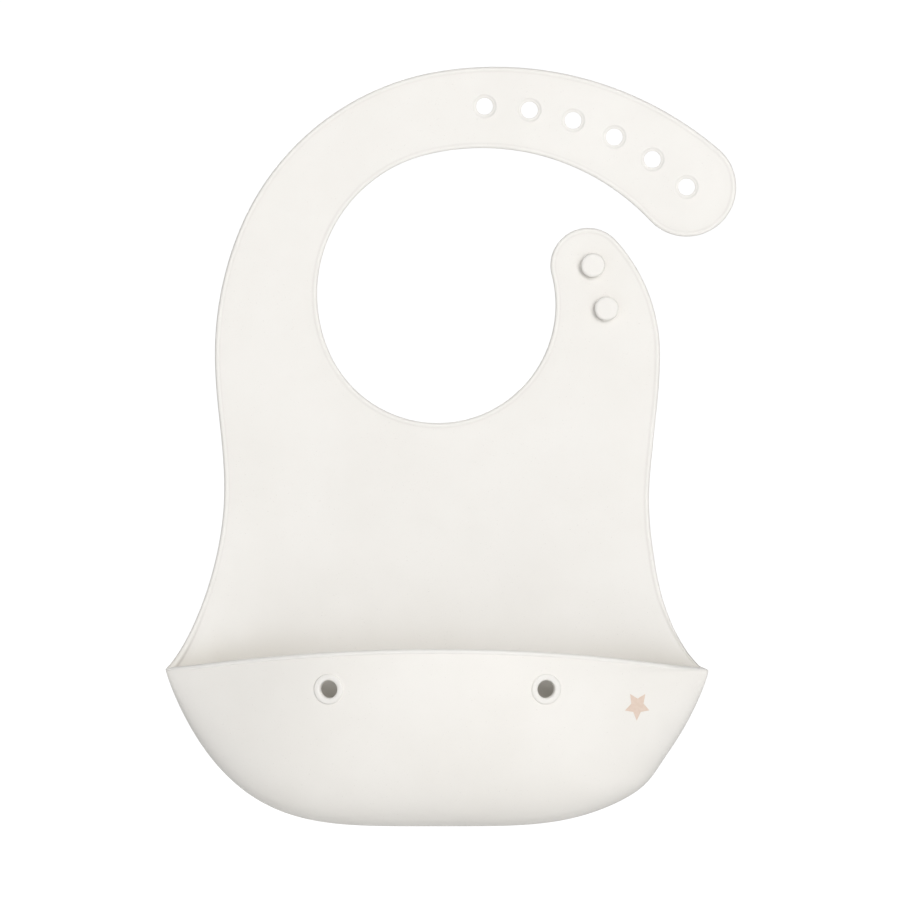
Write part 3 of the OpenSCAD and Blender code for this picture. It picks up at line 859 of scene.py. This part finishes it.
round_end = pocket_half_w - 0.02 - 1.6 * (1 - np.sin(np.linspace(0.3, math.pi / 2, 8)))
lip_x = column_x[np.abs(column_x) < round_end[0] - 0.3]
lip_x = np.concatenate((-round_end[::-1], lip_x, round_end))
mid_depth = (lip_depth(lip_x) + lip_depth(lip_x, inner_half_w, pocket_depth - wall_t)) / 2
end_l, point_l = 14.5, 4.5
to_corner = np.clip((np.abs(lip_x) - (pocket_half_w - end_l)) / end_l, 0, 1)
to_point = np.clip((np.abs(lip_x) - (pocket_half_w - point_l)) / point_l, 0, 1)
lip_line = np.column_stack((
    lip_x,
    -sheet_half * (1 - 0.7 * to_corner) - mid_depth,
    lip_z(lip_x) - lip_half_h * (1 - 0.8 * to_corner**2),
))
lip_mesh = line_mesh("lip_line", lip_line)
lip_taper = (1 - 0.15 * to_corner**2) * (1.004 - to_point**2) ** 0.75
lip_mesh.attributes.new("taper", "FLOAT", "POINT").data.foreach_set("value", np.float32(lip_taper))
lip_roll = grow("pocket_lip_roll", roll_tree, lip_mesh, lip_silicone,
                Half_thickness=lip_half_t / 1000, Half_height=lip_half_h / 1000)
settle_mesh(lip_roll.data)
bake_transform(lip_roll)
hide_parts("lip_bead", "lip_corner_beads")


# ---------------------------------------------------------------- Eyelets
# Two round holes through the pocket's wall, each with a thick soft ring moulded round it that
# stands a little proud of both faces.

eyelet_silicone = silicone("eyelet_silicone", (0.865, 0.845, 0.81, 1), 0.6, 0.8, 0.000015)
ring_tree, given, result = new_tree("eyelet_ring", (
    ("Bore radius", "NodeSocketFloat"), ("Ring radius", "NodeSocketFloat"),
    ("Length", "NodeSocketFloat"), ("Rounding", "NodeSocketFloat"),
    ("Centre", "NodeSocketVector"), ("Turn", "NodeSocketRotation"),
))
radii = times(ring_tree, (given, "Bore radius"), (given, "Ring radius"), "ADD")
mean_r = times(ring_tree, (radii, 0), 0.5)
width = times(ring_tree, (given, "Ring radius"), (given, "Bore radius"), "SUBTRACT")
section = node(ring_tree, "GeometryNodeCurvePrimitiveQuadrilateral")
rounded = node(ring_tree, "GeometryNodeFilletCurve", {"Count": 6}, mode="POLY")
circle = node(ring_tree, "GeometryNodeCurvePrimitiveCircle", {"Resolution": 64})
swept = node(ring_tree, "GeometryNodeCurveToMesh")
placed = node(ring_tree, "GeometryNodeTransform")
link(ring_tree, (width, 0), (section, "Width"), (given, "Length"), (section, "Height"),
     (section, 0), (rounded, 0), (given, "Rounding"), (rounded, "Radius"),
     (mean_r, 0), (circle, "Radius"), (circle, 0), (swept, "Curve"),
     (rounded, 0), (swept, "Profile Curve"), (swept, 0), (placed, 0),
     (given, "Centre"), (placed, "Translation"), (given, "Turn"), (placed, "Rotation"))
finish_tree(ring_tree, given, result, (placed, 0))

for side, word in ((-1, "left"), (1, "right")):
    x = side * eyelet_x
    facing = wall_facing(x, eyelet_z)
    centre = (Vector((x, wall_y(x, eyelet_z), eyelet_z)) - facing * wall_t / 2) / 1000
    ring = grow(f"{word}_eyelet_ring", ring_tree, bpy.data.meshes.new("nothing"), eyelet_silicone,
                Bore_radius=eyelet_r / 1000, Ring_radius=collar_r / 1000,
                Length=(wall_t + 2 * collar_proud) / 1000, Rounding=0.0009, Centre=centre[:],
                Turn=facing.to_track_quat("Z", "Y").to_euler())
    settle_mesh(ring.data)
    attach(ring, "pocket_wall")
    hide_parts(f"{word}_eyelet_collar")


# ---------------------------------------------------------------- Star
# A small mark printed in one colour of soft silicone ink on the right of the pocket, here a
# plain five-pointed star. The ink follows the curve of the wall.

mark_inset, mark_drop, mark_r, mark_inner_share = 29.5, 14.7, 6.0, 0.5
ink_proud, ink_sunk, ink_step = 0.12, 0.25, 0.8
mark_x, mark_z = pocket_half_w - mark_inset, corner_z - mark_drop
facing = wall_facing(mark_x, mark_z)
across = Vector((1, facing.x / -facing.y, 0)).normalized()
up = facing.cross(across) * -1
tips = [polar(mark_r if i % 2 == 0 else mark_r * mark_inner_share, 90 + 36 * i) for i in range(10)]
rim = np.array([a + (b - a) * share for a, b in zip(tips, tips[1:] + tips[:1])
                for share in np.linspace(0, 1, 8, endpoint=False)])
steps = np.arange(-mark_r, mark_r + 0.1, ink_step)
grid = np.array([(a, b) for a in steps for b in steps])
grid = grid[inside(grid, rim) & (distance(grid, np.vstack((rim, rim[:1]))) > ink_step / 2)]
found = delaunay_2d_cdt([Vector(p) for p in np.vstack((rim, grid))],
                        [(i, (i + 1) % len(rim)) for i in range(len(rim))], [], 0, 1e-5)
flat_star = np.array([tuple(v) for v in found[0]])
tris = np.array(found[2])
tris = tris[inside(flat_star[tris].mean(1), rim)]
middle_of_mark = np.array((mark_x, wall_y(mark_x, mark_z), mark_z))
on_plane = middle_of_mark + flat_star @ np.array((across, up))
ground = wall_y(on_plane[:, 0], on_plane[:, 2])
layers = [np.column_stack((on_plane[:, 0], ground + off, on_plane[:, 2]))
          for off in (-ink_proud, ink_sunk)]
count = len(flat_star)
faces = [tuple(t) for t in tris] + [tuple(t[::-1] + count) for t in tris]
edges = {(a, b) for t in tris for a, b in ((t[0], t[1]), (t[1], t[2]), (t[2], t[0]))}
faces += [(b, a, a + count, b + count) for a, b in edges if (b, a) not in edges]

ink = bpy.data.materials.new("peach_ink")
ink.use_nodes = True
tree = ink.node_tree
tree.nodes.clear()
place = node(tree, "ShaderNodeTexCoord")
cover = ramp(tree, (noise(tree, (place, "Object"), 900, 3), 0), 0.3, 0.6)
tone = tint(tree, (cover, 0), (0.785, 0.645, 0.55, 1), (0.75, 0.6, 0.5, 1))
grain = noise(tree, (place, "Object"), 2200, 2)
bump = node(tree, "ShaderNodeBump", {"Strength": 1.0, "Distance": 0.000012})
body = node(tree, "ShaderNodeBsdfPrincipled", {"Roughness": 0.6, "IOR": 1.45})
out = node(tree, "ShaderNodeOutputMaterial")
link(tree, (tone, 2), (body, "Base Color"), (grain, 0), (bump, "Height"), (bump, 0), (body, "Normal"),
     (body, 0), (out, "Surface"))
star = make_piece("star_print", settle(np.vstack(layers)), faces, ink)
face_outwards(star.data)
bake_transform(star)
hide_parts("printed_star")


# ---------------------------------------------------------------- Studs
# Two mushroom studs on the short strap, moulded on: a stem as long as the long strap is
# thick, under a flat round head. Pushed through two of the holes, they close the neck.

stud_silicone = silicone("stud_silicone", (0.868, 0.848, 0.812, 1), 0.6, 0.8, 0.000015)
stud_offset, stud_lean = 2.0, 17.4
stem_r, stem_h, head_r, head_h = 3.15, 2.3, 4.9, 2.4
top = stem_h + head_h
half_section = (
    (0, -0.4), (stem_r + 0.9, -0.4), (stem_r + 0.75, 0.02), (stem_r + 0.25, 0.25), (stem_r, 0.7),
    (stem_r, stem_h - 0.15), (stem_r + 0.15, stem_h), (head_r - 0.6, stem_h),
    (head_r - 0.2, stem_h + 0.15), (head_r, stem_h + 0.6), (head_r, top - 1.0),
    (head_r - 0.13, top - 0.56), (head_r - 0.42, top - 0.22), (head_r - 0.85, top - 0.04),
    (head_r - 1.3, top), (0, top - 0.03),
)
turned = line_mesh("stud_section", [(r, 0, h) for r, h in half_section])
turning = bpy.data.objects.new("stud_turning", turned)
scene.collection.objects.link(turning)
spin = turning.modifiers.new("turn", "SCREW")
spin.axis, spin.steps, spin.render_steps = "Z", 56, 56
spin.use_merge_vertices, spin.merge_threshold = True, 1e-6
one_stud = bake(turning, "one_stud", stud_silicone)
face_outwards(one_stud.data)

set_tree, given, result = new_tree("stud_row", (
    ("Count", "NodeSocketInt"), ("First", "NodeSocketVector"), ("Step", "NodeSocketVector"),
    ("Turn", "NodeSocketRotation"),
))
row = node(set_tree, "GeometryNodeMeshLine", mode="OFFSET")
copies = node(set_tree, "GeometryNodeInstanceOnPoints")
link(set_tree, (given, "Count"), (row, "Count"), (given, "First"), (row, "Start Location"),
     (given, "Step"), (row, "Offset"), (row, 0), (copies, "Points"), (given, 0), (copies, "Instance"),
     (given, "Turn"), (copies, "Rotation"))
finish_tree(set_tree, given, result, (copies, 0))

upper_stud = short_c + (stud_offset, 0)
stud_step = polar(hole_pitch, stud_lean - 90)
start_mesh = one_stud.data
bpy.data.objects.remove(one_stud)
studs = grow("stud_pair", set_tree, start_mesh, stud_silicone, Count=2,
             First=(upper_stud[0] / 1000, -sheet_half / 1000, upper_stud[1] / 1000),
             Step=(stud_step[0] / 1000, 0.0, stud_step[1] / 1000),
             Turn=Vector((0, -1, 0)).to_track_quat("Z", "Y").to_euler())
settle_mesh(studs.data)
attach(studs, "short_strap_end")
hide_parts("upper_stud", "lower_stud")
